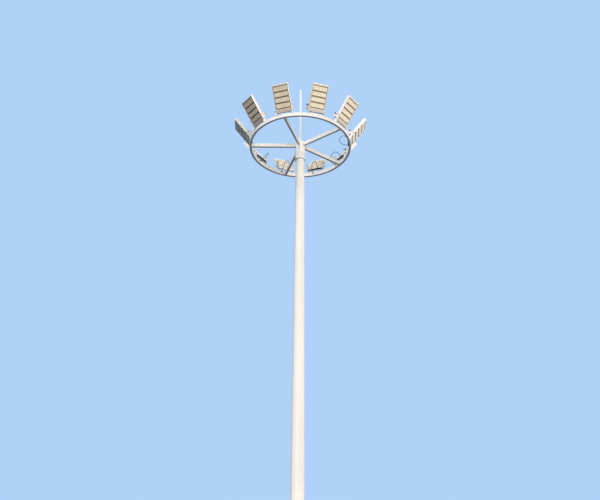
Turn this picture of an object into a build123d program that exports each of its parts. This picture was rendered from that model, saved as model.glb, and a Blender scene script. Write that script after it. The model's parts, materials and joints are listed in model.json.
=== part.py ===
from build123d import *
import math
import os

# Shaft: a folded steel mast of twelve flats, in three sections that slip over each other
mast_height = 24690.0
mast_sides = 12
mast_base_width = 448.0  # across the flats at the foot
mast_top_width = 188.0  # across the flats at the top end
lower_wall = 6.0
middle_wall = 5.0
upper_wall = 4.0
lower_joint_height = 7000.0  # foot of the middle section
upper_joint_height = 14900.0  # foot of the upper section
lower_joint_lap = 600.0
upper_joint_lap = 500.0
slip_clearance = 0.3

# Foot: a round flange plate, its gussets and the anchor bolt holes
flange_radius = 350.0
flange_thickness = 30.0
anchor_count = 12
anchor_circle_radius = 300.0
anchor_hole_radius = 17.0
gusset_height = 200.0
gusset_thickness = 12.0
gusset_edge_margin = 20.0
gusset_lip = 30.0
cable_hole_radius = 40.0
cable_hole_offset = 95.0

# Access door, a bent plate over an opening in the lower section
door_centre_height = 950.0
opening_width = 190.0
opening_height = 560.0
opening_corner = 60.0
door_lap = 22.0
door_thickness = 5.0
door_gap = 4.0
door_frame_width = 30.0
door_frame_thickness = 10.0

# Hub: a sleeve over the shaft's top end, its cap and the lightning rod
sleeve_radius = 109.5
sleeve_wall = 6.0
sleeve_length = 480.0
cap_thickness = 12.0
socket_radius = 29.0
socket_height = 90.0
rod_radius = 21.0
rod_length = 1600.0
rod_clearance = 0.4

# Head frame: a ring of rectangular tube on five spokes
ring_radius = 1150.0
tube_width = 50.0
tube_height = 90.0
tube_wall = 4.0
frame_drop = 10.0  # the frame's top lies this far under the shaft's top end
spoke_count = 5
first_spoke_azimuth = 36.0
weld_gap = 0.3

# Floodlights: ten of them, each in its own bracket on the ring
light_count = 10
light_elevation = 55.0  # of the long axis, above the horizontal
light_width = 372.0
light_depth = 70.0
foot_reach = 56.0  # from the tilt axis down to the light's lower end
pivot_setback = 17.0  # the tilt axis lies this far inside the housing's back edge
rail_thickness = 10.0
rail_corner = 14.0
cover_inset = 4.0
driver_length = 88.0
driver_depth = 50.0
end_bar_length = 46.0
end_bar_depth = 56.0
module_count = 4
module_length = 117.0
module_gap = 12.0
module_plate = 14.0
lens_inset = 10.0
lens_height = 5.0
fin_count = 8
fin_thickness = 4.0
fin_setback = 8.0
pivot_height = 128.0  # of the tilt axis, above the ring's top
pivot_radius = 8.0
pivot_clearance = 0.4
bolt_end = 5.0
gland_radius = 12.0
gland_length = 24.0
light_gland_side = -60.0  # sideways from the light's middle
ear_root = 130.0  # length of a rail's ear where it leaves the rail
ear_radius = 17.0

# Brackets: one plate bent to a U, each arm with a quadrant and its slot for the clamp bolt
bar_width = 50.0
bar_thickness = 6.0
bar_gap = 6.0
bend_radius = 8.0
tilt_back = 30.0
tilt_forward = 55.0
clamp_reach = 117.0  # from the tilt axis straight up to the clamp bolt
clamp_radius = 6.0
clamp_clearance = 1.0
quadrant_margin = 12.0

# Leads: seen as loose loops at the first five lights
lead_count = 5
lead_radius = 6.0
lead_sides = 8
lead_straight = 58.0  # out of the light's gland
lead_end_straight = 56.0  # into the ring's gland
ring_gland_height = 58.0
ring_gland_sides = [-10.0, 120.0, 40.0, 105.0, 60.0]
gland_stem_radius = 8.0

flats_turn = 180.0 / mast_sides
lower_step = 2 * (middle_wall + slip_clearance)
upper_step = 2 * (upper_wall + slip_clearance)
mast_taper = (mast_base_width + lower_step + upper_step - mast_top_width) / mast_height
frame_top = mast_height - frame_drop
frame_underside = frame_top - tube_height
ring_inner = ring_radius - tube_width / 2
ring_outer = ring_radius + tube_width / 2
pivot_z = frame_top + pivot_height
inner_width = light_width - 2 * rail_thickness
modules_start = driver_length - foot_reach + module_gap
modules_end = modules_start + module_count * (module_length + module_gap)
light_head = modules_end + end_bar_length
light_front = light_depth - pivot_setback
light_length = foot_reach + light_head
clamp_along = clamp_reach * math.sin(math.radians(light_elevation))
clamp_behind = clamp_reach * math.cos(math.radians(light_elevation))
step_angle = 360.0 / light_count

parts = {}


def prism(width_low, width_high, z_low, z_high):
    low = Plane.XY.offset(z_low) * shaft_outline(width_low)
    high = Plane.XY.offset(z_high) * shaft_outline(width_high)
    return loft([low, high], ruled=True)


def shaft_outline(width):
    return RegularPolygon(width / 2, mast_sides, major_radius=False, rotation=flats_turn)


def shaft_width(z, step):
    return mast_base_width - mast_taper * z + step


def shaft_body(z_low, z_high, step, growth=0.0):
    """The solid inside the shaft's surface, grown outward by growth."""
    wide = shaft_width(z_low, step) + 2 * growth
    narrow = shaft_width(z_high, step) + 2 * growth
    return prism(wide, narrow, z_low, z_high)


def shaft_section(z_low, z_high, step, wall):
    return shaft_body(z_low, z_high, step) - shaft_body(z_low, z_high, step, -wall)


def front_window(width, height, corner):
    """A bar along -Y with rounded corners, centred on the door, that cuts one side of the shaft."""
    outline = Plane.XZ * Pos(0, door_centre_height) * RectangleRounded(width, height, corner)
    return extrude(outline, mast_base_width)


def door_window(margin):
    return front_window(opening_width + 2 * margin, opening_height + 2 * margin, opening_corner + margin)


def make_mast():
    opening = door_window(0)
    lower = shaft_section(flange_thickness, lower_joint_height + lower_joint_lap, 0, lower_wall)
    parts["mast_lower"] = lower - opening
    middle_top = upper_joint_height + upper_joint_lap
    parts["mast_middle"] = shaft_section(lower_joint_height, middle_top, lower_step, middle_wall)
    upper = shaft_section(upper_joint_height, mast_height, lower_step + upper_step, upper_wall)
    parts["mast_upper"] = upper


def door_plate(margin, thickness):
    """A plate bent to the shaft's flats, as large as the opening and margin round it."""
    reach = opening_height / 2 + margin + thickness
    z_low = door_centre_height - reach
    z_high = door_centre_height + reach
    shell = shaft_body(z_low, z_high, 0, thickness) - shaft_body(z_low, z_high, 0)
    return shell & door_window(margin)


def make_door():
    parts["access_door"] = door_plate(door_lap, door_thickness)
    frame_inner = door_lap + door_gap
    outer = door_plate(frame_inner + door_frame_width, door_frame_thickness)
    parts["door_frame"] = outer - door_window(frame_inner)


def make_flange():
    plate = extrude(Circle(flange_radius), flange_thickness)
    half_pitch = 180.0 / anchor_count
    for index in range(anchor_count):
        place = Rot(0, 0, half_pitch + index * 360.0 / anchor_count) * Pos(anchor_circle_radius, 0, 0)
        plate -= extrude(place * Circle(anchor_hole_radius), flange_thickness)
    for side in (-1, 1):
        plate -= extrude(Pos(0, side * cable_hole_offset) * Circle(cable_hole_radius), flange_thickness)
    parts["base_flange"] = plate


def make_gussets():
    top = flange_thickness + gusset_height
    foot_x = shaft_width(flange_thickness, 0) / 2
    top_x = shaft_width(top, 0) / 2
    edge_x = flange_radius - gusset_edge_margin
    outline = make_face(
        Polyline(
            (foot_x, flange_thickness),
            (edge_x, flange_thickness),
            (edge_x, flange_thickness + gusset_lip),
            (top_x + gusset_lip, top),
            (top_x, top),
            close=True,
        )
    )
    gusset = extrude(Plane.XZ * outline, gusset_thickness / 2, both=True)
    parts["base_gussets"] = copies(gusset, anchor_count, 0)


def copies(piece, count, first_azimuth):
    turn = 360.0 / count
    return Compound([Rot(0, 0, first_azimuth + index * turn) * piece for index in range(count)])


def make_hub():
    foot = mast_height - sleeve_length
    outer = Pos(0, 0, foot) * extrude(Circle(sleeve_radius), sleeve_length)
    bore = Pos(0, 0, foot) * extrude(Circle(sleeve_radius - sleeve_wall), sleeve_length)
    parts["hub_sleeve"] = outer - bore
    cap = Pos(0, 0, mast_height) * extrude(Circle(sleeve_radius), cap_thickness)
    seat_z = mast_height + cap_thickness
    socket = Pos(0, 0, seat_z) * extrude(Circle(socket_radius), socket_height)
    socket -= Pos(0, 0, seat_z) * extrude(Circle(rod_radius + rod_clearance), socket_height)
    parts["hub_cap"] = cap + socket
    straight = rod_length - rod_radius
    rod = Pos(0, 0, seat_z) * extrude(Circle(rod_radius), straight)
    parts["lightning_rod"] = rod + Pos(0, 0, seat_z + straight) * Sphere(rod_radius)


def make_ring():
    section = Pos(ring_radius, 0) * Rectangle(tube_width, tube_height)
    cavity = Pos(ring_radius, 0) * Rectangle(tube_width - 2 * tube_wall, tube_height - 2 * tube_wall)
    middle = Pos(0, 0, frame_top - tube_height / 2)
    ring = middle * revolve(Plane.XZ * (section - cavity), Axis.Z)
    for index in range(lead_count):
        hole = ring_gland_plane(index) * extrude(Circle(gland_stem_radius), 3 * tube_wall, both=True)
        ring -= Rot(0, 0, index * step_angle) * hole
    parts["ring"] = ring


def ring_gland_plane(index):
    """The place of a lead's gland on the ring's inner face, facing the mast, before it turns to its light."""
    side = ring_gland_sides[index]
    x = math.sqrt(ring_inner**2 - side**2)
    origin = (x, side, frame_underside + ring_gland_height)
    return Plane(origin=origin, x_dir=(0, 1, 0), z_dir=(-1, 0, 0))


def make_spokes():
    tube = Rectangle(tube_width, tube_height)
    tube -= Rectangle(tube_width - 2 * tube_wall, tube_height - 2 * tube_wall)
    spoke = extrude(Plane.YZ * tube, ring_inner)
    spoke = Pos(0, 0, frame_top - tube_height / 2) * spoke
    tall = 2 * mast_height
    spoke &= extrude(Circle(ring_inner - weld_gap), tall)
    spoke -= extrude(Circle(sleeve_radius + weld_gap), tall)
    parts["spokes"] = copies(spoke, spoke_count, first_spoke_azimuth)


def bracket_arm():
    """An arm seen from the side, with the tilt axis at the origin: X outward, Y up."""
    slot_radius = clamp_radius + clamp_clearance
    travel = CenterArc((0, 0), clamp_reach, 90 - tilt_forward, tilt_forward + tilt_back)
    middle = Pos(0, (clamp_reach - pivot_height) / 2)
    arm = middle * Rectangle(bar_width, clamp_reach + pivot_height)
    arm += SlotArc(travel, 2 * (slot_radius + quadrant_margin))
    arm -= Circle(pivot_radius + pivot_clearance)
    return arm - SlotArc(travel, 2 * slot_radius)


def make_brackets():
    inner = light_width / 2 + bar_gap
    outer = inner + bar_thickness
    rise = 2 * (pivot_height + clamp_reach)
    middle = Plane.YZ * Pos(0, frame_top + rise / 2)
    outside = middle * RectangleRounded(2 * outer, rise, bend_radius + bar_thickness)
    inside = middle * RectangleRounded(2 * inner, rise - 2 * bar_thickness, bend_radius)
    shell = Pos(ring_radius, 0, 0) * extrude(outside - inside, rise / 2, both=True)
    side_view = Plane(origin=(ring_radius, 0, pivot_z), x_dir=(1, 0, 0), z_dir=(0, -1, 0))
    bracket = shell & extrude(side_view * bracket_arm(), light_width, both=True)
    parts["floodlight_brackets"] = copies(bracket, light_count, 0)


def light_plane():
    """The tilt axis along X, the light's length along Y and its beam along Z."""
    angle = math.radians(light_elevation)
    beam = (math.sin(angle), 0, -math.cos(angle))
    return Plane(origin=(ring_radius, 0, pivot_z), x_dir=(0, 1, 0), z_dir=beam)


def housing_outline(inset):
    """The housing seen from the side, with X along its length and Y along its depth."""
    middle = Pos((light_head - foot_reach) / 2, light_front - light_depth / 2)
    outline = middle * Rectangle(light_length - 2 * inset, light_depth - 2 * inset)
    return fillet(outline.vertices(), rail_corner - inset)


def rail_outline():
    """A side rail, with an ear behind it that carries the clamp bolt."""
    root = light_front - light_depth / 2
    low = clamp_along - ear_root / 2
    high = clamp_along + ear_root / 2
    sides = Polyline((low, root), (high, root), (clamp_along, -clamp_behind), close=True)
    tip = Pos(clamp_along, -clamp_behind) * Circle(ear_radius)
    ear = make_hull(sides.edges() + tip.edges())
    return housing_outline(0) + ear


def front_block(low, high, depth):
    """A block between the rails, down from the housing's front, that bounds a cover."""
    middle = Pos(0, (low + high) / 2, light_front - depth / 2)
    return middle * Box(inner_width, high - low, depth)


def side_bolt(radius, along, behind):
    """Both ends of a bolt across the light, out through the bracket's arms."""
    length = bar_gap + bar_thickness + bolt_end
    end = Pos(light_width / 2, along, -behind) * extrude(Plane.YZ * Circle(radius), length)
    return end + mirror(end, about=Plane.YZ)


def light_frame():
    """Two side rails with ears, the end bar, the driver box, the tilt pins, the clamp bolts and the gland."""
    side_view = Plane(origin=(0, 0, 0), x_dir=(0, 1, 0), z_dir=(1, 0, 0))
    rail = extrude(side_view * rail_outline(), rail_thickness)
    core = extrude(side_view * housing_outline(cover_inset), inner_width / 2, both=True)
    frame = Pos(inner_width / 2, 0, 0) * rail
    frame += Pos(-light_width / 2, 0, 0) * rail
    frame += core & front_block(-foot_reach, driver_length - foot_reach, driver_depth)
    frame += core & front_block(modules_end, light_head, end_bar_depth)
    frame += side_bolt(pivot_radius, 0, 0)
    frame += side_bolt(clamp_radius, clamp_along, clamp_behind)
    return frame + light_gland()


def gland_mouth():
    z = light_front - driver_depth - gland_length
    return Vector(light_gland_side, driver_length / 2 - foot_reach, z)


def light_gland():
    mouth = gland_mouth()
    return Pos(mouth.X, mouth.Y, mouth.Z) * extrude(Circle(gland_radius), gland_length)


def light_module():
    """A finned heat sink with its lens plate, its middle at the face's centre."""
    face_z = light_front - cover_inset
    lens = Box(inner_width - 2 * lens_inset, module_length - 2 * lens_inset, lens_height)
    plate_z = face_z - lens_height - module_plate / 2
    module = Pos(0, 0, plate_z) * Box(inner_width, module_length, module_plate)
    module += Pos(0, 0, face_z - lens_height / 2) * lens
    fin_top = plate_z - module_plate / 2
    fin_height = fin_top + pivot_setback - fin_setback
    fin = Box(fin_thickness, module_length, fin_height)
    pitch = (inner_width - fin_thickness) / (fin_count - 1)
    for index in range(fin_count):
        x = index * pitch - (inner_width - fin_thickness) / 2
        module += Pos(x, 0, fin_top - fin_height / 2) * fin
    return module


def make_lights():
    frame = light_plane() * light_frame()
    module = light_module()
    pitch = module_length + module_gap
    first_y = modules_start + module_length / 2
    modules = [light_plane() * Pos(0, first_y + row * pitch, 0) * module for row in range(module_count)]
    for index in range(light_count):
        turn = Rot(0, 0, index * step_angle)
        name = f"floodlight_{index + 1:02d}"
        parts[name + "_frame"] = turn * frame
        parts[name + "_modules"] = Compound([turn * piece for piece in modules])


def ring_gland(index):
    """A gland that follows the ring's curved face, with a stem through the ring's wall."""
    body = extrude(Circle(gland_radius), gland_length)
    body = (ring_gland_plane(index) * body) & extrude(Circle(ring_inner - weld_gap), 2 * mast_height)
    stem_length = gland_length / 2 + 2 * tube_wall
    stem = Pos(0, 0, -2 * tube_wall) * extrude(Circle(gland_stem_radius - weld_gap), stem_length)
    return Rot(0, 0, index * step_angle) * (body + ring_gland_plane(index) * stem)


def make_ring_glands():
    parts["ring_glands"] = Compound([ring_gland(index) for index in range(lead_count)])


def lead_loops():
    """Each lead's loop, in from the ring, sideways, and above the ring's underside."""
    return [
        [(132, -64, 294), (188, -62, 284), (228, -54, 244), (240, -42, 188), (226, -29, 132), (176, -17, 84)],
        [(138, -54, 290), (196, -28, 270), (226, 6, 226), (232, 46, 172), (218, 84, 120), (176, 108, 78)],
        [(140, -58, 292), (200, -46, 276), (240, -28, 234), (250, -6, 178), (232, 14, 124), (180, 30, 82)],
        [(136, -50, 300), (184, -18, 306), (214, 28, 280), (224, 68, 230), (214, 94, 172), (180, 104, 112)],
        [(136, -58, 294), (188, -46, 282), (220, -20, 240), (224, 12, 184), (208, 38, 130), (168, 55, 84)],
    ]


def lead_points(index):
    """From the light's gland, along its axis, round the loop and into the ring's gland."""
    start = light_plane().from_local_coords(gland_mouth())
    straight = start - light_plane().z_dir * lead_straight
    end = ring_gland_plane(index).origin - Vector(gland_length, 0, 0)
    base = Vector(ring_radius, 0, frame_underside)
    loop = [base + Vector(-inward, side, up) for inward, side, up in lead_loops()[index]]
    return [start, straight] + loop + [end - Vector(lead_end_straight, 0, 0), end]


def lead_bends(points):
    """Each bend takes 0.45 of its shorter run."""
    radii = []
    for before, here, after in zip(points, points[1:], points[2:]):
        run_in = here - before
        run_out = after - here
        half_turn = math.radians(run_in.get_angle(run_out) / 2)
        radii.append(0.45 * min(run_in.length, run_out.length) / math.tan(half_turn))
    return radii


def make_leads():
    for index in range(lead_count):
        points = lead_points(index)
        radii = lead_bends(points)
        path = FilletPolyline(*points, radius=radii)
        start = Plane(origin=points[0], z_dir=points[1] - points[0])
        lead = sweep(start * RegularPolygon(lead_radius, lead_sides), path=path)
        section = lead.volume / path.length
        print("lead", index + 1, "length", round(path.length), "section", round(section, 2))
        print("bends", [round(radius) for radius in radii])
        parts[f"lead_{index + 1:02d}"] = Rot(0, 0, index * step_angle) * lead


make_flange()
make_gussets()
make_mast()
make_door()
make_hub()
make_ring()
make_spokes()
make_brackets()
make_lights()
make_ring_glands()
make_leads()

os.makedirs("parts", exist_ok=True)
for name, piece in parts.items():
    export_step(piece, f"parts/{name}.step")
print("nodes", len(parts))
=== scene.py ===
import json
import math

import bmesh
import bpy
from mathutils import Matrix, Vector


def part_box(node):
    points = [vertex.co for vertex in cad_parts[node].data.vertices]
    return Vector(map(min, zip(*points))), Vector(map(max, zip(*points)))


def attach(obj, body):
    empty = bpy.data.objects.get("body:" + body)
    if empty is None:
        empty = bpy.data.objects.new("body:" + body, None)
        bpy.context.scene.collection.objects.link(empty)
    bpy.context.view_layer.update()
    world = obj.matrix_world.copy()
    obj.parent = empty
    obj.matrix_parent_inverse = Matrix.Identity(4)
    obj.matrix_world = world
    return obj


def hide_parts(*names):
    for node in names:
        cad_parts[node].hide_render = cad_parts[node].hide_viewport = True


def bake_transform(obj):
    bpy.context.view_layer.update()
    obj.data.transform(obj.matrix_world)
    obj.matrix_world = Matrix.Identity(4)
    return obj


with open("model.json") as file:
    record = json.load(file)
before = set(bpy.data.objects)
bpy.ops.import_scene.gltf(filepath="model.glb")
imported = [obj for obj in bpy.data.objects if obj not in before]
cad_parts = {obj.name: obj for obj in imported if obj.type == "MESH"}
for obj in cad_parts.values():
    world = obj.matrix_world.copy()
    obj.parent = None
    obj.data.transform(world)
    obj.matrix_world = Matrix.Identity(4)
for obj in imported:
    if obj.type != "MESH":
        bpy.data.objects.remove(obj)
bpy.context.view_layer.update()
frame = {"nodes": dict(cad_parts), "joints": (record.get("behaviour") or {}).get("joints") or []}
nodes = frame["nodes"]
scene = bpy.context.scene
mm = 0.001
print("frame loaded:", len(nodes), "parts")

# Camera: at eye level, about 30 m from the mast, looking up; metres, degrees, and millimetres of lens
camera = {
    "distance": 29.85,
    "eyeHeight": 1.6,
    "side": 0.5,  # round the mast
    "heading": 0.468,
    "pitch": 33.98,
    "roll": 0.5,
    "lens": 97.38,
    "sensor": 36.0,
    "clipEnd": 500.0,
}


def makeCamera():
    data = bpy.data.cameras.new("camera")
    data.lens = camera["lens"]
    data.sensor_width = camera["sensor"]
    data.clip_end = camera["clipEnd"]
    item = bpy.data.objects.new("camera", data)
    scene.collection.objects.link(item)
    side = math.radians(camera["side"])
    heading = math.radians(camera["heading"])
    pitch = math.radians(camera["pitch"])
    roll = math.radians(camera["roll"])
    ahead = Vector((
        -math.sin(heading) * math.cos(pitch), math.cos(heading) * math.cos(pitch), math.sin(pitch),
    ))
    level = Vector((math.cos(heading), math.sin(heading), 0.0))
    upright = level.cross(ahead)
    right = level * math.cos(roll) + upright * math.sin(roll)
    up = upright * math.cos(roll) - level * math.sin(roll)
    distance = camera["distance"]
    place = Vector((distance * math.sin(side), -distance * math.cos(side), camera["eyeHeight"]))
    turn = Matrix((right, up, -ahead)).transposed()
    item.matrix_world = Matrix.Translation(place) @ turn.to_4x4()
    scene.camera = item


makeCamera()
print("camera placed")

# One floodlight, in its own axes: X across, Y along its length, Z along its beam, from the tilt axis
floodlight = {
    "elevation": 55.0,
    "halfWidth": 186 * mm,
    "inner": 176 * mm,
    "low": -56 * mm,
    "front": 53 * mm,
    "firstModule": 44 * mm,
    "moduleLength": 117 * mm,
    "modulePitch": 129 * mm,
    "moduleCount": 4,
    "lensInset": 10 * mm,
    "armOuter": 198 * mm,
    "clampReach": 117 * mm,
    "driverLength": 88 * mm,
    "coverInset": 4 * mm,
    "plateDrop": 9 * mm,  # from the front edge to the modules' plates
    "gland": Vector((-60 * mm, -12 * mm, -21 * mm)),
}
lightJoints = frame["joints"]


def lightMatrix(joint):
    pivot = Vector(joint["pos_m"])
    across = Vector(joint["axis"])
    outward = Vector((pivot.x, pivot.y, 0.0)).normalized()
    tilt = math.radians(floodlight["elevation"])
    along = outward * math.cos(tilt) + Vector((0, 0, math.sin(tilt)))
    beam = outward * math.sin(tilt) - Vector((0, 0, math.cos(tilt)))
    turn = Matrix((across, along, beam)).transposed()
    return Matrix.Translation(pivot) @ turn.to_4x4()


# Leads: each leaves a light's gland, hangs in a loop inside the ring and goes into the ring
lead = {
    "diameter": 12 * mm,
    "straight": 58 * mm,
    "endStraight": 56 * mm,
    "ringGlandHeight": 58 * mm,
    "ringGlandLength": 24 * mm,
    "ringInner": 1125 * mm,
    "ringGlandSides": [-0.010, 0.120, 0.040, 0.105, 0.060],
    # in from the ring's centre line, sideways, above the ring's underside
    "loops": [
        [(0.132, -0.064, 0.294), (0.188, -0.062, 0.284), (0.228, -0.054, 0.244), (0.240, -0.042, 0.188),
         (0.226, -0.029, 0.132), (0.176, -0.017, 0.084)],
        [(0.138, -0.054, 0.290), (0.196, -0.028, 0.270), (0.226, 0.006, 0.226), (0.232, 0.046, 0.172),
         (0.218, 0.084, 0.120), (0.176, 0.108, 0.078)],
        [(0.140, -0.058, 0.292), (0.200, -0.046, 0.276), (0.240, -0.028, 0.234), (0.250, -0.006, 0.178),
         (0.232, 0.014, 0.124), (0.180, 0.030, 0.082)],
        [(0.136, -0.050, 0.300), (0.184, -0.018, 0.306), (0.214, 0.028, 0.280), (0.224, 0.068, 0.230),
         (0.214, 0.094, 0.172), (0.180, 0.104, 0.112)],
        [(0.136, -0.058, 0.294), (0.188, -0.046, 0.282), (0.220, -0.020, 0.240), (0.224, 0.012, 0.184),
         (0.208, 0.038, 0.130), (0.168, 0.055, 0.084)],
    ],
}
ringLow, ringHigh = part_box("ring")
ringRadius = Vector(lightJoints[0]["pos_m"]).xy.length


def ringPoint(joint, inward, sideways, up):
    outward = Vector(joint["pos_m"]).xy.normalized().to_3d()
    flat = outward * (ringRadius - inward) + Vector(joint["axis"]) * sideways
    return Vector((flat.x, flat.y, ringLow.z + up))


def leadRoute(index):
    joint = lightJoints[index]
    place = lightMatrix(joint)
    mouth = place @ floodlight["gland"]
    straight = mouth - place.col[2].to_3d() * lead["straight"]
    side = lead["ringGlandSides"][index]
    endInward = ringRadius - math.sqrt(lead["ringInner"] ** 2 - side**2) + lead["ringGlandLength"]
    height = lead["ringGlandHeight"]
    loop = [ringPoint(joint, *point) for point in lead["loops"][index]]
    turnIn = ringPoint(joint, endInward + lead["endStraight"], side, height)
    end = ringPoint(joint, endInward, side, height)
    return [mouth, straight] + loop + [turnIn, end]


def routeCurve(name, points):
    curve = bpy.data.curves.new(name, "CURVE")
    curve.dimensions = "3D"
    curve.resolution_u = 8
    spline = curve.splines.new("NURBS")
    spline.points.add(len(points) - 1)
    for slot, point in zip(spline.points, points):
        slot.co = (point.x, point.y, point.z, 1.0)
    spline.order_u = 3
    spline.use_endpoint_u = True
    return curve


def meshOf(curve):
    carrier = bpy.data.objects.new("carrier", curve)
    mesh = bpy.data.meshes.new_from_object(carrier)
    bpy.data.objects.remove(carrier)
    return mesh


# Rounded edges: on corners sharper than this angle only
rounding = {"segments": 2, "angle": 40.0}


def addPiece(name, mesh, material, body, place=None, bevel=0.0, smooth=35.0):
    item = bpy.data.objects.new(name, mesh)
    scene.collection.objects.link(item)
    if place is not None:
        item.matrix_world = place
    if not mesh.materials:
        # the lights share their meshes, so only the first use gives one its material
        mesh.materials.append(material)
    if bevel:
        edges = item.modifiers.new("edges", "BEVEL")
        edges.width = bevel
        edges.segments = rounding["segments"]
        edges.limit_method = "ANGLE"
        edges.angle_limit = math.radians(rounding["angle"])
    if smooth:
        mesh.shade_smooth()
        mesh.set_sharp_from_angle(angle=math.radians(smooth))
    if body:
        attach(item, body)
    return item


def linear(code):
    channels = [int(code[at:at + 2], 16) / 255 for at in (0, 2, 4)]
    bright = [c / 12.92 if c <= 0.04045 else ((c + 0.055) / 1.055) ** 2.4 for c in channels]
    return (*bright, 1.0)


def addNode(tree, kind, settings=None, links=None):
    node = tree.nodes.new(kind)
    for name, value in (settings or {}).items():
        if isinstance(name, int) or name in node.inputs:
            node.inputs[name].default_value = value
        else:
            setattr(node, name, value)
    for name, source in (links or {}).items():
        tree.links.new(source, node.inputs[name])
    return node


def newTree(name):
    material = bpy.data.materials.new(name)
    material.use_nodes = True
    material.node_tree.nodes.clear()
    return material, material.node_tree


def finishTree(tree, shader):
    addNode(tree, "ShaderNodeOutputMaterial", {}, {"Surface": shader.outputs["BSDF"]})


# Painted steel: alkyd paint over galvanised plate, sprayed on; a smooth pale skin with faint rain streaks
paintSkin = {
    "ior": 1.5, "streakFrom": 0.52, "streakTo": 0.78, "blotchFrom": 0.4, "blotchTo": 0.7,
    "peelStrength": 0.25, "peelDepth": 0.4 * mm, "smoother": 0.06, "rougher": 0.08,
}


def paintedSteel(name, look):
    material, tree = newTree(name)
    place = addNode(tree, "ShaderNodeTexCoord").outputs["Object"]
    stretched = addNode(tree, "ShaderNodeMapping", {
        "Scale": (1 / look["streakWidth"], 1 / look["streakWidth"], 1 / look["streakLength"]),
    }, {"Vector": place})
    streaks = addNode(tree, "ShaderNodeTexNoise", {"Scale": 1.0, "Detail": 5.0, "Roughness": 0.6},
                      {"Vector": stretched.outputs["Vector"]})
    streakShare = addNode(tree, "ShaderNodeMapRange", {
        "From Min": paintSkin["streakFrom"],
        "From Max": paintSkin["streakTo"],
        "To Max": look["streakAmount"],
    }, {"Value": streaks.outputs["Fac"]})
    blotches = addNode(tree, "ShaderNodeTexNoise", {"Scale": 1 / look["blotchSize"], "Detail": 3.0},
                       {"Vector": place})
    blotchShare = addNode(tree, "ShaderNodeMapRange", {
        "From Min": paintSkin["blotchFrom"],
        "From Max": paintSkin["blotchTo"],
        "To Max": look["blotchAmount"],
    }, {"Value": blotches.outputs["Fac"]})
    aged = addNode(tree, "ShaderNodeMix", {
        "data_type": "RGBA", 6: linear(look["colour"]), 7: linear(look["aged"]),
    }, {0: blotchShare.outputs["Result"]})
    streaked = addNode(tree, "ShaderNodeMix", {"data_type": "RGBA", 7: linear(look["streak"])},
                       {0: streakShare.outputs["Result"], 6: aged.outputs[2]})
    peel = addNode(tree, "ShaderNodeTexNoise", {"Scale": 1 / look["peelSize"], "Detail": 2.0},
                   {"Vector": place})
    bump = addNode(tree, "ShaderNodeBump", {
        "Strength": paintSkin["peelStrength"], "Distance": paintSkin["peelDepth"],
    }, {"Height": peel.outputs["Fac"]})
    rough = addNode(tree, "ShaderNodeMapRange", {
        "To Min": look["roughness"] - paintSkin["smoother"],
        "To Max": look["roughness"] + paintSkin["rougher"],
    }, {"Value": blotches.outputs["Fac"]})
    shader = addNode(tree, "ShaderNodeBsdfPrincipled", {"IOR": paintSkin["ior"]}, {
        "Base Color": streaked.outputs[2],
        "Roughness": rough.outputs["Result"],
        "Normal": bump.outputs["Normal"],
    })
    finishTree(tree, shader)
    return material


# White gone slightly warm, with long faint rain streaks down the shaft
mastPaint = paintedSteel("painted steel, mast", {
    "colour": "E6E6E2", "aged": "DEDDD7", "streak": "C6C3B8", "roughness": 0.42,
    "streakWidth": 60 * mm, "streakLength": 2600 * mm, "streakAmount": 0.45,
    "blotchSize": 900 * mm, "blotchAmount": 0.6, "peelSize": 4 * mm,
})
# A cleaner white with shorter, fainter streaks
framePaint = paintedSteel("painted steel, head frame", {
    "colour": "E9E9E6", "aged": "E1E0DB", "streak": "CBC9C0", "roughness": 0.4,
    "streakWidth": 25 * mm, "streakLength": 240 * mm, "streakAmount": 0.3,
    "blotchSize": 300 * mm, "blotchAmount": 0.5, "peelSize": 3 * mm,
})
print("paints made")

# Coats and mouldings: a dry, finely pebbled skin that scatters light evenly, with some dust on it
coatSkin = {"ior": 1.5, "dustFrom": 0.45, "dustTo": 0.75, "pebbleStrength": 0.3, "pebbleDepth": 0.3 * mm}


def powderCoat(name, look):
    material, tree = newTree(name)
    place = addNode(tree, "ShaderNodeTexCoord").outputs["Object"]
    pebbles = addNode(tree, "ShaderNodeTexNoise", {"Scale": 1 / look["pebble"], "Detail": 2.0},
                      {"Vector": place})
    dust = addNode(tree, "ShaderNodeTexNoise", {"Scale": 1 / look["dustSize"], "Detail": 4.0},
                   {"Vector": place})
    dustShare = addNode(tree, "ShaderNodeMapRange", {
        "From Min": coatSkin["dustFrom"], "From Max": coatSkin["dustTo"], "To Max": look["dustAmount"],
    }, {"Value": dust.outputs["Fac"]})
    colour = addNode(tree, "ShaderNodeMix", {
        "data_type": "RGBA", 6: linear(look["colour"]), 7: linear(look["dust"]),
    }, {0: dustShare.outputs["Result"]})
    bump = addNode(tree, "ShaderNodeBump", {
        "Strength": coatSkin["pebbleStrength"], "Distance": coatSkin["pebbleDepth"],
    }, {"Height": pebbles.outputs["Fac"]})
    shader = addNode(tree, "ShaderNodeBsdfPrincipled", {
        "IOR": coatSkin["ior"], "Roughness": look["roughness"],
    }, {"Base Color": colour.outputs[2], "Normal": bump.outputs["Normal"]})
    finishTree(tree, shader)
    return material


# White powder coat, slightly yellowed, with road dust in patches
lightCoat = powderCoat("powder coated aluminium, housing", {
    "colour": "F2F0EA", "dust": "D8D2C4",
    "dustSize": 80 * mm, "dustAmount": 0.5, "pebble": 2 * mm, "roughness": 0.5,
})
# The driver's cover is a warmer grey white, which sets it off below the lenses
driverCoat = powderCoat("powder coated aluminium, driver cover", {
    "colour": "E6DAD2", "dust": "C7B9AE",
    "dustSize": 60 * mm, "dustAmount": 0.6, "pebble": 2 * mm, "roughness": 0.5,
})
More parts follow.
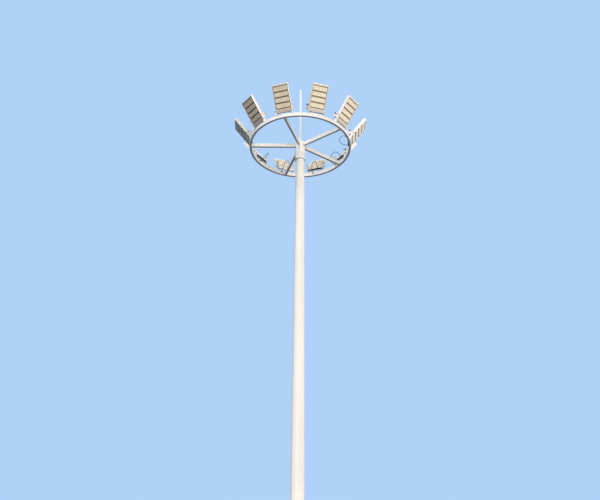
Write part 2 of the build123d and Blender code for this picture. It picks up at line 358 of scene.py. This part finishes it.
# Cast and then coated, so a little yellower and less even
heatSinkCoat = powderCoat("die cast aluminium, heat sinks", {
    "colour": "EFEADD", "dust": "D3C8B2",
    "dustSize": 50 * mm, "dustAmount": 0.7, "pebble": 2.5 * mm, "roughness": 0.45,
})
# Cream and nearly plain, a little glossy
lensSheet = powderCoat("polycarbonate, lens sheet", {
    "colour": "FFF6E0", "dust": "F2E6C6",
    "dustSize": 40 * mm, "dustAmount": 0.4, "pebble": 3 * mm, "roughness": 0.4,
})
# Clear over cream, so deeper in tone and glossier than the sheet
lensDome = powderCoat("moulded acrylic, lens domes", {
    "colour": "FDF3D8", "dust": "EEDFB8",
    "dustSize": 20 * mm, "dustAmount": 0.4, "pebble": 3 * mm, "roughness": 0.34,
})
# Brown and dull, the line round each lens sheet: a real seal, its dark brown partly painted shade for the
# gaps between the modules
gasket = powderCoat("silicone rubber gasket, darkened as painted shade", {
    "colour": "6A5C44", "dust": "5A4D38",
    "dustSize": 20 * mm, "dustAmount": 0.5, "pebble": 2 * mm, "roughness": 0.7,
})
# Painted shade: lighter brown and dull, seen as the lines between the modules, where the open gaps are dark
# only from shade
gapShadeBrown = powderCoat("painted shade, gaps between modules", {
    "colour": "A08A62", "dust": "86724F",
    "dustSize": 30 * mm, "dustAmount": 0.5, "pebble": 2 * mm, "roughness": 0.7,
})
# Dark blue grey with a dull shine
knobPlastic = powderCoat("moulded nylon, clamp knobs", {
    "colour": "1D2B3F", "dust": "33425A",
    "dustSize": 12 * mm, "dustAmount": 0.6, "pebble": 1.5 * mm, "roughness": 0.45,
})
# Black with a dull shine; the end strips on the driver boxes take it too, as painted shadow
glandBlackAndShade = powderCoat("moulded nylon, cable glands, and painted shadow", {
    "colour": "17191C", "dust": "2B2F33",
    "dustSize": 10 * mm, "dustAmount": 0.6, "pebble": 1.5 * mm, "roughness": 0.42,
})
# Black with a green cast, weathered dull
leadRubber = powderCoat("neoprene rubber, leads", {
    "colour": "14242A", "dust": "2C3F46",
    "dustSize": 15 * mm, "dustAmount": 0.6, "pebble": 1.5 * mm, "roughness": 0.55,
})

# Hot dip galvanised steel: dull grey metal with zinc spangles of uneven shine
zincSkin = {"bumpStrength": 0.15, "bumpDepth": 0.3 * mm, "smoother": 0.08, "rougher": 0.1}


def galvanised(name, look):
    material, tree = newTree(name)
    place = addNode(tree, "ShaderNodeTexCoord").outputs["Object"]
    spangle = addNode(tree, "ShaderNodeTexVoronoi", {"Scale": 1 / look["spangle"]}, {"Vector": place})
    tone = addNode(tree, "ShaderNodeMapRange", {"To Min": 0.0, "To Max": 1.0},
                   {"Value": spangle.outputs["Color"]})
    colour = addNode(tree, "ShaderNodeMix", {
        "data_type": "RGBA", 6: linear(look["colour"]), 7: linear(look["pale"]),
    }, {0: tone.outputs["Result"]})
    rough = addNode(tree, "ShaderNodeMapRange", {
        "To Min": look["roughness"] - zincSkin["smoother"],
        "To Max": look["roughness"] + zincSkin["rougher"],
    }, {"Value": spangle.outputs["Color"]})
    bump = addNode(tree, "ShaderNodeBump", {
        "Strength": zincSkin["bumpStrength"], "Distance": zincSkin["bumpDepth"],
    }, {"Height": spangle.outputs["Distance"]})
    shader = addNode(tree, "ShaderNodeBsdfPrincipled", {"Metallic": look["metallic"]}, {
        "Base Color": colour.outputs[2],
        "Roughness": rough.outputs["Result"],
        "Normal": bump.outputs["Normal"],
    })
    finishTree(tree, shader)
    return material


# Mid grey and dull, with broad spangles
flangeZinc = galvanised("galvanised steel, flange", {
    "colour": "A9ADB0", "pale": "C4C8CA", "spangle": 14 * mm, "roughness": 0.5, "metallic": 0.7,
})
# A brighter grey with small spangles, shinier on the heads
boltZinc = galvanised("zinc plated steel, bolts", {
    "colour": "B4B6B6", "pale": "CFD1D0", "spangle": 5 * mm, "roughness": 0.36, "metallic": 0.85,
})
print("materials made")

# Leads as smooth tubes along their routes
for index in range(len(lead["loops"])):
    name = f"lead_{index + 1:02d}"
    body = f"floodlight_{index + 1:02d}"
    points = leadRoute(index)
    curve = routeCurve(name, points)
    path = [vertex.co.copy() for vertex in meshOf(curve).vertices]
    curve.bevel_depth = lead["diameter"] / 2
    curve.bevel_resolution = 4
    curve.use_fill_caps = True
    tube = addPiece(f"{name}_tube", meshOf(curve), leadRubber, None, smooth=60)
    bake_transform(tube)
    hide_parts(name)
print("leads hung")


# Sides of the turned shapes
sides = {"nut": 6, "stud": 20, "round": 24, "knob": 60, "sleeve": 64, "floor": 96}


def turned(mesh, profile, place, segments):
    # revolves (radius, height) pairs about Z
    place = place or Matrix.Identity(4)
    rings = []
    for radius, height in profile:
        count = segments if radius > 1e-7 else 1
        ring = []
        for step in range(count):
            turn = 2 * math.pi * step / segments
            point = Vector((radius * math.cos(turn), radius * math.sin(turn), height))
            ring.append(mesh.verts.new(place @ point))
        rings.append(ring)
    for low, high in zip(rings, rings[1:]):
        for step in range(segments):
            after = (step + 1) % segments
            corners = [low[step % len(low)], low[after % len(low)]]
            corners += [high[after % len(high)], high[step % len(high)]]
            unique = list(dict.fromkeys(corners))
            if len(unique) > 2:
                mesh.faces.new(unique)


def block(mesh, low, high):
    size = Vector(high) - Vector(low)
    middle = (Vector(high) + Vector(low)) / 2
    fit = Matrix.Translation(middle) @ Matrix.Diagonal((*size, 1.0))
    bmesh.ops.create_cube(mesh, size=1.0, matrix=fit)


def extruded(mesh, outline, low, high, place):
    # a flat outline in X and Y, from low to high along Z
    bottom = [mesh.verts.new(place @ Vector((x, y, low))) for x, y in outline]
    top = [mesh.verts.new(place @ Vector((x, y, high))) for x, y in outline]
    mesh.faces.new(list(reversed(bottom)))
    mesh.faces.new(top)
    for step in range(len(outline)):
        after = (step + 1) % len(outline)
        mesh.faces.new([bottom[step], bottom[after], top[after], top[step]])


def meshFrom(name, build):
    work = bmesh.new()
    build(work)
    bmesh.ops.recalc_face_normals(work, faces=work.faces)
    mesh = bpy.data.meshes.new(name)
    work.to_mesh(mesh)
    work.free()
    return mesh


def washer(mesh, place, inner, outer, height):
    profile = [(inner, 0), (outer, 0), (outer, height), (inner, height), (inner, 0)]
    turned(mesh, profile, place, sides["round"])


def hexHead(mesh, place, acrossFlats, height):
    corner = acrossFlats / math.sqrt(3)
    rim = acrossFlats / 2
    shoulder = height * 0.82  # where the chamfer begins
    profile = [(0, 0), (corner, 0), (corner, shoulder), (rim, height), (0, height)]
    turned(mesh, profile, place, sides["nut"])


def screwHead(mesh, place, size):
    # a low domed head, with its foot sunk into the face
    radius = size["screw"] / 2
    profile = [(radius, -size["screwSunk"]), (radius, size["screwRim"]), (0, size["screwCrown"])]
    turned(mesh, profile, place, size["screwSides"])


# Hex bolt with its washer, standing on a face; sizes as shares of the bolt's diameter
boltShare = {"washerHole": 0.5, "washerRadius": 1.1, "washer": 0.16, "flats": 1.5, "head": 0.65}


def boltOn(mesh, place, size):
    thickness = size * boltShare["washer"]
    washer(mesh, place, size * boltShare["washerHole"], size * boltShare["washerRadius"], thickness)
    seat = place @ Matrix.Translation((0, 0, thickness))
    hexHead(mesh, seat, size * boltShare["flats"], size * boltShare["head"])


# LED modules: a lens sheet with two rows of domes, in a gasket darkened as painted shade, on each heat sink
lensBoard = {
    "halfLength": 163 * mm,
    "thickness": 2 * mm,
    "columns": 5,
    "rows": 2,
    "columnPitch": 64 * mm,
    "rowPitch": 44 * mm,
    "domeRadius": 16 * mm,
    "domeHeight": 3.5 * mm,
    "domeRings": 5,
    "domeSides": 16,
    "gasket": 2 * mm,
    "sunk": 3 * mm,
    "sheetInset": 2 * mm,
    "screwEvery": 78 * mm,
    "screwInset": 5 * mm,
    "screw": 5 * mm,
    "screwSunk": 0,
    "screwRim": 2 * mm,
    "screwCrown": 2.6 * mm,
    "screwSides": 12,
    "stripBack": 33 * mm,
    "stripFront": 42 * mm,
}


def moduleMiddles():
    first = floodlight["firstModule"] + floodlight["moduleLength"] / 2
    return [first + row * floodlight["modulePitch"] for row in range(floodlight["moduleCount"])]


def buildLensSheets(mesh):
    face = floodlight["front"] - floodlight["coverInset"]
    half = floodlight["moduleLength"] / 2 - floodlight["lensInset"] - lensBoard["sheetInset"]
    long = lensBoard["halfLength"]
    back, front = face - lensBoard["sunk"], face + lensBoard["thickness"]
    for middle in moduleMiddles():
        block(mesh, (-long, middle - half, back), (long, middle + half, front))


def buildDomes(mesh):
    face = floodlight["front"] - floodlight["coverInset"] + lensBoard["thickness"]
    radius, height = lensBoard["domeRadius"], lensBoard["domeHeight"]
    profile = [(radius, -mm)]
    for step in range(lensBoard["domeRings"] + 1):
        turn = math.pi / 2 * step / lensBoard["domeRings"]
        profile.append((radius * math.cos(turn), height * math.sin(turn)))
    for middle in moduleMiddles():
        for column in range(lensBoard["columns"]):
            for row in range(lensBoard["rows"]):
                x = (column - (lensBoard["columns"] - 1) / 2) * lensBoard["columnPitch"]
                y = middle + (row - (lensBoard["rows"] - 1) / 2) * lensBoard["rowPitch"]
                turned(mesh, profile, Matrix.Translation((x, y, face)), lensBoard["domeSides"])


def buildGaskets(mesh):
    # the gasket's dark brown rim is partly painted shade
    face = floodlight["front"] - floodlight["plateDrop"]
    half = floodlight["moduleLength"] / 2 - mm
    long = floodlight["inner"] - 1.5 * mm
    for middle in moduleMiddles():
        block(mesh, (-long, middle - half, face - mm), (long, middle + half, face + lensBoard["gasket"]))


def buildModuleScrews(mesh):
    face = floodlight["front"] - floodlight["plateDrop"] + lensBoard["gasket"] - 0.5 * mm
    edge = floodlight["moduleLength"] / 2 - lensBoard["screwInset"]
    for middle in moduleMiddles():
        for side in (-1, 1):
            for step in range(-2, 3):
                spot = Vector((step * lensBoard["screwEvery"], middle + side * edge, face))
                screwHead(mesh, Matrix.Translation(spot), lensBoard)


def buildGapShade(mesh):
    # painted shade: brown strips that close the gaps before, between and after the modules, set back from
    # the lenses
    gap = floodlight["modulePitch"] - floodlight["moduleLength"]
    half = gap / 2 + mm
    wide = floodlight["inner"] - mm
    back, front = lensBoard["stripBack"], lensBoard["stripFront"]
    for row in range(floodlight["moduleCount"] + 1):
        middle = floodlight["firstModule"] - gap / 2 + row * floodlight["modulePitch"]
        block(mesh, (-wide, middle - half, back), (wide, middle + half, front))


lensSheetMesh = meshFrom("lens sheets", buildLensSheets)
gapShadeMesh = meshFrom("gap shade", buildGapShade)
domeMesh = meshFrom("lens domes", buildDomes)
gasketMesh = meshFrom("gaskets_and_shade", buildGaskets)
moduleScrewMesh = meshFrom("module screws", buildModuleScrews)

# Driver cover: a lid with screws on the driver box's front, and a black strip of painted shadow on its
# lower end
driverCover = {
    "lid": 3 * mm, "margin": 8 * mm, "lidRise": 8 * mm,
    "screw": 7 * mm, "screwSunk": mm, "screwRim": 1.6 * mm, "screwCrown": 2.4 * mm, "screwSides": 14,
    "screwLow": 15 * mm, "screwHigh": 7 * mm, "screwSide": 8 * mm,
    "endShade": 4 * mm, "endShadeBack": -14 * mm, "endShadeFront": 21 * mm,
    "withoutEndShade": ["floodlight_04"],  # the photo shows no dark strip on this one
}


def buildDriverLid(mesh):
    face = floodlight["front"] - floodlight["coverInset"]
    low = floodlight["low"] + driverCover["margin"] + driverCover["lidRise"]
    high = floodlight["low"] + floodlight["driverLength"] - driverCover["margin"]
    wide = floodlight["inner"] - driverCover["margin"]
    block(mesh, (-wide, low, face - mm), (wide, high, face + driverCover["lid"]))


def buildLidScrews(mesh):
    face = floodlight["front"] - floodlight["coverInset"] + driverCover["lid"]
    low = floodlight["low"] + driverCover["margin"] + driverCover["screwLow"]
    high = floodlight["low"] + floodlight["driverLength"] - driverCover["margin"] - driverCover["screwHigh"]
    wide = floodlight["inner"] - driverCover["margin"] - driverCover["screwSide"]
    for x in (-wide, 0, wide):
        for y in (low, high):
            screwHead(mesh, Matrix.Translation((x, y, face)), driverCover)


def buildEndShade(mesh):
    # a black strip of painted shadow over the driver box's lower end, which lies in shade
    low = floodlight["low"]
    wide = floodlight["inner"] - 2 * mm
    back, front = driverCover["endShadeBack"], driverCover["endShadeFront"]
    block(mesh, (-wide, low - driverCover["endShade"], back), (wide, low + mm, front))


driverLidMesh = meshFrom("driver lid", buildDriverLid)
endShadeMesh = meshFrom("end shade", buildEndShade)
lidScrewMesh = meshFrom("lid screws", buildLidScrews)

# Side hardware: the tilt bolt and the clamp bolt have a nylon knob on one side and a hex head on the other,
# each over a washer
knob = {
    "radius": 17 * mm, "length": 20 * mm, "lobes": 6, "depth": 2.5 * mm,
    "neck": 6 * mm, "neckLow": 10 * mm, "neckHigh": 9 * mm,
    "washer": 3 * mm, "washerRadius": 13 * mm, "washerHole": 8.2 * mm,
    "headFlats": 22 * mm, "headHeight": 10 * mm,
    "side": -1,
    "turnedRound": ["floodlight_04"],  # lights whose bolts were put in from the other side
}


def sideBolts(side):
    # the tilt bolt, and the clamp bolt straight above it
    tilt = math.radians(floodlight["elevation"])
    reach = floodlight["clampReach"]
    for along, depth in ((0, 0), (reach * math.sin(tilt), -reach * math.cos(tilt))):
        spot = Matrix.Translation((side * floodlight["armOuter"], along, depth))
        yield spot @ Matrix.Rotation(side * math.pi / 2, 4, "Y")


def buildKnobs(mesh, side):
    outline = []
    for step in range(sides["knob"]):
        turn = 2 * math.pi * step / sides["knob"]
        reach = knob["radius"] - knob["depth"] * (0.5 - 0.5 * math.cos(knob["lobes"] * turn))
        outline.append((reach * math.cos(turn), reach * math.sin(turn)))
    for place in sideBolts(side):
        low, high = knob["washer"], knob["washer"] + knob["neck"]
        extruded(mesh, outline, high - mm, low + knob["length"], place)
        neck = [(0, low), (knob["neckLow"], low), (knob["neckHigh"], high), (0, high)]
        turned(mesh, neck, place, sides["round"])


def buildBoltHeads(mesh, side):
    for place in sideBolts(side):
        seat = place @ Matrix.Translation((0, 0, knob["washer"]))
        hexHead(mesh, seat, knob["headFlats"], knob["headHeight"])


def buildSideWashers(mesh):
    for side in (-1, 1):
        for place in sideBolts(side):
            washer(mesh, place, knob["washerHole"], knob["washerRadius"], knob["washer"])


# Rail screws: two at each module, through the rail's side into the heat sink
railScrew = {
    "screw": 7 * mm, "screwSunk": mm, "screwRim": 1.2 * mm, "screwCrown": 2.6 * mm, "screwSides": 12,
    "depths": [6 * mm, 36 * mm],
}


def buildRailScrews(mesh):
    for side in (-1, 1):
        for middle in moduleMiddles():
            for depth in railScrew["depths"]:
                spot = Matrix.Translation((side * floodlight["halfWidth"], middle, depth))
                screwHead(mesh, spot @ Matrix.Rotation(side * math.pi / 2, 4, "Y"), railScrew)


knobMeshes = {side: meshFrom("knobs", lambda work: buildKnobs(work, side)) for side in (-1, 1)}
boltHeadMeshes = {side: meshFrom("bolt heads", lambda work: buildBoltHeads(work, side)) for side in (-1, 1)}
sideWasherMesh = meshFrom("side washers", buildSideWashers)
railScrewMesh = meshFrom("rail screws", buildRailScrews)

# Light gland: a black nylon hexagon and dome over the stub on the driver box, as radius and height
lightGland = {
    "hexagon": [(12.6 * mm, 24 * mm), (15 * mm, 24 * mm), (15 * mm, 15 * mm), (12.6 * mm, 14 * mm)],
    "dome": [(12.4 * mm, 16 * mm), (12.4 * mm, 6 * mm), (10 * mm, 0.4 * mm), (6.2 * mm, -0.5 * mm)],
}


def buildLightGland(mesh):
    place = Matrix.Translation(floodlight["gland"])
    turned(mesh, lightGland["hexagon"], place, sides["nut"])
    turned(mesh, lightGland["dome"], place, sides["round"])


lightGlandMesh = meshFrom("light gland", buildLightGland)

for joint in lightJoints:
    body = joint["child"]
    place = lightMatrix(joint)
    knobSide = -knob["side"] if body in knob["turnedRound"] else knob["side"]
    # each piece: name, mesh, material, bevel, smoothing angle, slot
    pieces = [
        ("lens_sheets", lensSheetMesh, lensSheet, mm, 35.0, "module_aluminium"),
        ("lens_domes", domeMesh, lensDome, 0.0, 60.0, "module_aluminium"),
        # the gaskets' dark brown is partly painted shade
        ("gaskets_and_shade", gasketMesh, gasket, 0.0, 35.0, "gland_plastic"),
        # painted shade: brown strips closing the gaps between the modules
        ("gap_shade", gapShadeMesh, gapShadeBrown, 0.0, 35.0, "gland_plastic"),
        ("module_screws", moduleScrewMesh, boltZinc, 0.0, 35.0, "flange_steel"),
        ("driver_lid", driverLidMesh, driverCoat, mm, 35.0, "light_paint"),
        ("lid_screws", lidScrewMesh, boltZinc, 0.0, 35.0, "flange_steel"),
        # painted shadow: a black strip on the driver box's lower end face
        ("end_shade", endShadeMesh, glandBlackAndShade, 1.5 * mm, 35.0, "gland_plastic"),
        ("knobs", knobMeshes[knobSide], knobPlastic, 2 * mm, 35.0, "gland_plastic"),
        ("bolt_heads", boltHeadMeshes[-knobSide], boltZinc, 0.0, 35.0, "flange_steel"),
        ("washers", sideWasherMesh, boltZinc, 0.0, 35.0, "flange_steel"),
        ("rail_screws", railScrewMesh, boltZinc, 0.0, 35.0, "flange_steel"),
        ("gland", lightGlandMesh, glandBlackAndShade, 0.0, 35.0, "gland_plastic"),
    ]
    for name, mesh, material, bevel, smooth, slot in pieces:
        if name == "end_shade" and body in driverCover["withoutEndShade"]:
            continue
        addPiece(f"{body}_{name}", mesh, material, body, place, bevel, smooth)
print("floodlights dressed")

# Bracket feet: two bolts each, through the foot into the ring's top
bracketFoot = {"thickness": 6 * mm, "boltSpread": 110 * mm, "bolt": 12 * mm}


def buildFootBolts(mesh):
    up = ringHigh.z - ringLow.z + bracketFoot["thickness"]
    for joint in lightJoints:
        for side in (-1, 1):
            spot = ringPoint(joint, 0, side * bracketFoot["boltSpread"], up)
            boltOn(mesh, Matrix.Translation(spot), bracketFoot["bolt"])


addPiece("bracket_bolts", meshFrom("bracket bolts", buildFootBolts), boltZinc, "mast")

# Hub: two rows of set bolts through the sleeve, and a rim at its lower end
sleeveLow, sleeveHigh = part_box("hub_sleeve")
sleeveRadius = (sleeveHigh.x - sleeveLow.x) / 2
hub = {
    "setBolt": 14 * mm, "rows": [105 * mm, 165 * mm], "boltsARow": 6,
    "rim": 7 * mm, "rimHeight": 14 * mm, "sunk": 0.5 * mm,
}


def buildSetBolts(mesh):
    for height in hub["rows"]:
        for step in range(hub["boltsARow"]):
            turn = 2 * math.pi * step / hub["boltsARow"]
            out = Vector((math.cos(turn), math.sin(turn), 0))
            spot = out * (sleeveRadius - hub["sunk"]) + Vector((0, 0, sleeveLow.z + height))
            place = Matrix.Translation(spot) @ out.to_track_quat("Z", "X").to_matrix().to_4x4()
            boltOn(mesh, place, hub["setBolt"])


def buildSleeveRim(mesh):
    inner, outer = sleeveRadius - hub["sunk"], sleeveRadius + hub["rim"]
    low, high = sleeveLow.z, sleeveLow.z + hub["rimHeight"]
    profile = [(inner, low), (outer, low), (outer, high), (inner, high), (inner, low)]
    turned(mesh, profile, None, sides["sleeve"])


addPiece("hub_set_bolts", meshFrom("set bolts", buildSetBolts), boltZinc, "mast")
rimMesh = meshFrom("sleeve rim", buildSleeveRim)
addPiece("hub_sleeve_rim", rimMesh, framePaint, "mast", bevel=mm)

# Weld beads round both ends of each spoke
weld = {"radius": 4 * mm, "spokeWidth": 50 * mm, "firstSpoke": 36.0, "spokes": 5}


def beadCurve(points, radius):
    curve = bpy.data.curves.new("bead", "CURVE")
    curve.dimensions = "3D"
    spline = curve.splines.new("POLY")
    spline.points.add(len(points) - 1)
    for slot, point in zip(spline.points, points):
        slot.co = (*point, 1.0)
    spline.use_cyclic_u = True
    curve.bevel_depth = radius
    curve.bevel_resolution = 2
    return curve


def spokeBead(azimuth, radius):
    # a bead round the spoke's rectangle, on a cylinder of that radius
    half = weld["spokeWidth"] / 2
    points = []
    for height, order in ((ringLow.z, (-1, -0.5, 0, 0.5, 1)), (ringHigh.z, (1, 0.5, 0, -0.5, -1))):
        for share in order:
            y = share * half
            points.append(Vector((math.sqrt(radius**2 - y**2), y, height)))
    turn = Matrix.Rotation(azimuth, 4, "Z")
    return [turn @ point for point in points]


for step in range(weld["spokes"]):
    azimuth = math.radians(weld["firstSpoke"] + step * 360 / weld["spokes"])
    for end, radius in (("hub", sleeveRadius), ("ring", lead["ringInner"])):
        curve = beadCurve(spokeBead(azimuth, radius), weld["radius"])
        addPiece(f"weld_{end}_{step + 1}", meshOf(curve), framePaint, "mast", smooth=60)
print("head frame dressed")

# Foot: anchor studs with nuts and washers, the weld round the shaft, and the door's bolts
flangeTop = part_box("base_flange")[1].z
foot = {
    "anchors": 12, "circle": 300 * mm, "stud": 15 * mm, "studHeight": 75 * mm, "studSunk": 25 * mm,
    "threadTurns": 24, "threadDepth": 0.8 * mm, "threadEnd": 70 * mm, "chamfer": 2 * mm,
    "washerHole": 16 * mm, "washerRadius": 29 * mm, "washer": 4 * mm,
    "nutFlats": 46 * mm, "nutHeight": 24 * mm, "weld": 7 * mm,
}


def buildAnchors(mesh):
    for step in range(foot["anchors"]):
        turn = 2 * math.pi * (step + 0.5) / foot["anchors"]
        spot = Vector((foot["circle"] * math.cos(turn), foot["circle"] * math.sin(turn), flangeTop))
        place = Matrix.Translation(spot) @ Matrix.Rotation(turn, 4, "Z")
        washer(mesh, place, foot["washerHole"], foot["washerRadius"], foot["washer"])
        seat = place @ Matrix.Translation((0, 0, foot["washer"]))
        hexHead(mesh, seat, foot["nutFlats"], foot["nutHeight"])
        low, high = -foot["studSunk"], foot["threadEnd"]
        thread = [(0, low)]
        for ring in range(foot["threadTurns"] + 1):
            height = low + (high - low) * ring / foot["threadTurns"]
            thread.append((foot["stud"] - (foot["threadDepth"] if ring % 2 else 0), height))
        thread.append((foot["stud"] - foot["chamfer"], foot["studHeight"]))
        thread.append((0, foot["studHeight"]))
        turned(mesh, thread, place, sides["stud"])


addPiece("anchor_bolts", meshFrom("anchor bolts", buildAnchors), boltZinc, "mast")

shaftLow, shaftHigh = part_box("mast_lower")
shaft = {"sides": 12, "footWidth": shaftHigh.x - shaftLow.x}
footCorner = shaft["footWidth"] / 2 / math.cos(math.pi / shaft["sides"])
footBead = []
for step in range(shaft["sides"]):
    turn = 2 * math.pi * (step + 0.5) / shaft["sides"]
    footBead.append(Vector((footCorner * math.cos(turn), footCorner * math.sin(turn), flangeTop)))
footWeldMesh = meshOf(beadCurve(footBead, foot["weld"]))
addPiece("weld_foot", footWeldMesh, flangeZinc, "mast", smooth=60)

doorLow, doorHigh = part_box("access_door")
door = {"bolt": 12 * mm, "edge": 12 * mm, "sideBoltShare": 0.28, "flatTurn": 30.0}


def buildDoorBolts(mesh):
    # one bolt above and one below on the front flat, and two on each flat beside it
    middle = (doorLow.z + doorHigh.z) / 2
    high = doorHigh.z - doorLow.z
    reach = -doorLow.y
    for side in (-1, 1):
        spot = Vector((0, -reach, middle + side * (high / 2 - door["edge"])))
        place = Matrix.Translation(spot) @ Matrix.Rotation(math.pi / 2, 4, "X")
        boltOn(mesh, place, door["bolt"])
    turn = math.radians(door["flatTurn"])
    halfWide = (doorHigh.x - doorLow.x) / 2 - door["edge"]
    across = (halfWide - math.sin(turn) * reach) / math.cos(turn)
    for side in (-1, 1):
        out = Vector((side * math.sin(turn), -math.cos(turn), 0))
        along = Vector((side * math.cos(turn), math.sin(turn), 0))
        for level in (-1, 1):
            up = Vector((0, 0, middle + level * door["sideBoltShare"] * high))
            spot = out * reach + along * across + up
            place = Matrix.Translation(spot) @ out.to_track_quat("Z", "X").to_matrix().to_4x4()
            boltOn(mesh, place, door["bolt"])


addPiece("door_bolts", meshFrom("door bolts", buildDoorBolts), boltZinc, "mast")
print("foot dressed")

# Finishes of the CAD parts
finishOf = {
    "base_flange": flangeZinc, "base_gussets": flangeZinc,
    "mast_lower": mastPaint, "mast_middle": mastPaint, "mast_upper": mastPaint,
    "access_door": mastPaint, "door_frame": mastPaint,
    "hub_sleeve": framePaint, "hub_cap": framePaint, "lightning_rod": framePaint,
    "ring": framePaint, "spokes": framePaint, "floodlight_brackets": framePaint,
    "ring_glands": glandBlackAndShade,
}
for name, node in nodes.items():
    finish = finishOf.get(name)
    if name.endswith("_frame") and name.startswith("floodlight"):
        finish = lightCoat
    if name.endswith("_modules"):
        finish = heatSinkCoat
    if name.startswith("lead_"):
        finish = leadRubber
    if finish is None:
        raise ValueError(name)
    for slot in node.material_slots:
        slot.material = finish
print("finishes set")

# Stage: a plain pale floor and soft light
stage = {
    "floorRadius": 4.5, "floorColour": "C8CED6", "background": "B0D1F8",
    # each lamp is a sun: strength, angle, elevation, azimuth, colour
    "suns": {
        "high": (1.15, 14.0, 52.0, -112.0, "FFFCF8"),
        "right": (0.42, 20.0, 24.0, -57.0, "FFFAF2"),
        "front": (0.16, 20.0, 24.0, -85.0, "FFFCF8"),
        "right kicker": (1.42, 24.0, -6.0, -52.0, "FFF6EC"),
        "front kicker": (1.22, 24.0, -6.0, -68.0, "FFF3E6"),
        "left soft box": (2.1, 60.0, 48.0, -165.0, "F6F9FF"),
        "right soft box": (1.1, 60.0, 14.0, 30.0, "FAFBFF"),
    },
    # glow by height, from straight down (0) to straight up (1)
    "glow": [(0.0, "0C0F12"), (0.4, "14181D"), (0.5, "7D8895"), (1.0, "8E9BAB")],
    "glowStrength": 0.12,
    "floorDrop": 2 * mm, "floorRoughness": 0.8,
}


def makeFloor():
    disc = [(0, 0), (stage["floorRadius"], 0)]
    mesh = meshFrom("floor", lambda work: turned(work, disc, None, sides["floor"]))
    material, tree = newTree("plain paper, floor")
    place = addNode(tree, "ShaderNodeTexCoord").outputs["Object"]
    fibre = addNode(tree, "ShaderNodeTexNoise", {"Scale": 40.0, "Detail": 2.0}, {"Vector": place})
    bump = addNode(tree, "ShaderNodeBump", {"Strength": 0.05}, {"Height": fibre.outputs["Fac"]})
    shader = addNode(tree, "ShaderNodeBsdfPrincipled", {
        "Base Color": linear(stage["floorColour"]), "Roughness": stage["floorRoughness"],
    }, {"Normal": bump.outputs["Normal"]})
    finishTree(tree, shader)
    floor = addPiece("floor", mesh, material, None, smooth=0)
    floor.location.z = -stage["floorDrop"]


def addSun(name, strength, angle, elevation, azimuth, colour):
    data = bpy.data.lights.new(name, "SUN")
    data.energy = strength
    data.angle = math.radians(angle)
    data.color = linear(colour)[:3]
    item = bpy.data.objects.new(name, data)
    scene.collection.objects.link(item)
    lift, turn = math.radians(elevation), math.radians(azimuth)
    toward = Vector((math.cos(lift) * math.cos(turn), math.cos(lift) * math.sin(turn), math.sin(lift)))
    item.rotation_mode = "QUATERNION"
    item.rotation_quaternion = toward.to_track_quat("Z", "Y")


def makeWorld():
    world = bpy.data.worlds.new("studio")
    scene.world = world
    world.use_nodes = True
    tree = world.node_tree
    tree.nodes.clear()
    place = addNode(tree, "ShaderNodeTexCoord").outputs["Generated"]
    parts = addNode(tree, "ShaderNodeSeparateXYZ", {}, {"Vector": place})
    height = addNode(tree, "ShaderNodeMapRange", {"From Min": -1.0, "From Max": 1.0},
                     {"Value": parts.outputs["Z"]})
    glow = addNode(tree, "ShaderNodeValToRGB", {}, {"Fac": height.outputs["Result"]})
    ramp = glow.color_ramp
    while len(ramp.elements) < len(stage["glow"]):
        ramp.elements.new(0.5)
    for element, (position, colour) in zip(ramp.elements, stage["glow"]):
        element.position = position
        element.color = linear(colour)
    light = addNode(tree, "ShaderNodeBackground", {"Strength": stage["glowStrength"]},
                    {"Color": glow.outputs["Color"]})
    shown = addNode(tree, "ShaderNodeBackground", {"Color": linear(stage["background"]), "Strength": 1.0})
    ray = addNode(tree, "ShaderNodeLightPath")
    direct = addNode(tree, "ShaderNodeMath", {"operation": "MAXIMUM"},
                     {0: ray.outputs["Is Camera Ray"], 1: ray.outputs["Is Glossy Ray"]})
    through = addNode(tree, "ShaderNodeMath", {"operation": "MAXIMUM"},
                      {0: direct.outputs["Value"], 1: ray.outputs["Is Transmission Ray"]})
    both = addNode(tree, "ShaderNodeMixShader", {}, {
        0: through.outputs["Value"], 1: light.outputs["Background"], 2: shown.outputs["Background"]})
    addNode(tree, "ShaderNodeOutputWorld", {}, {"Surface": both.outputs["Shader"]})


makeFloor()
for name, settings in stage["suns"].items():
    addSun(name, *settings)
makeWorld()
scene.view_settings.view_transform = "Standard"
print("stage set")

bpy.context.view_layer.update()
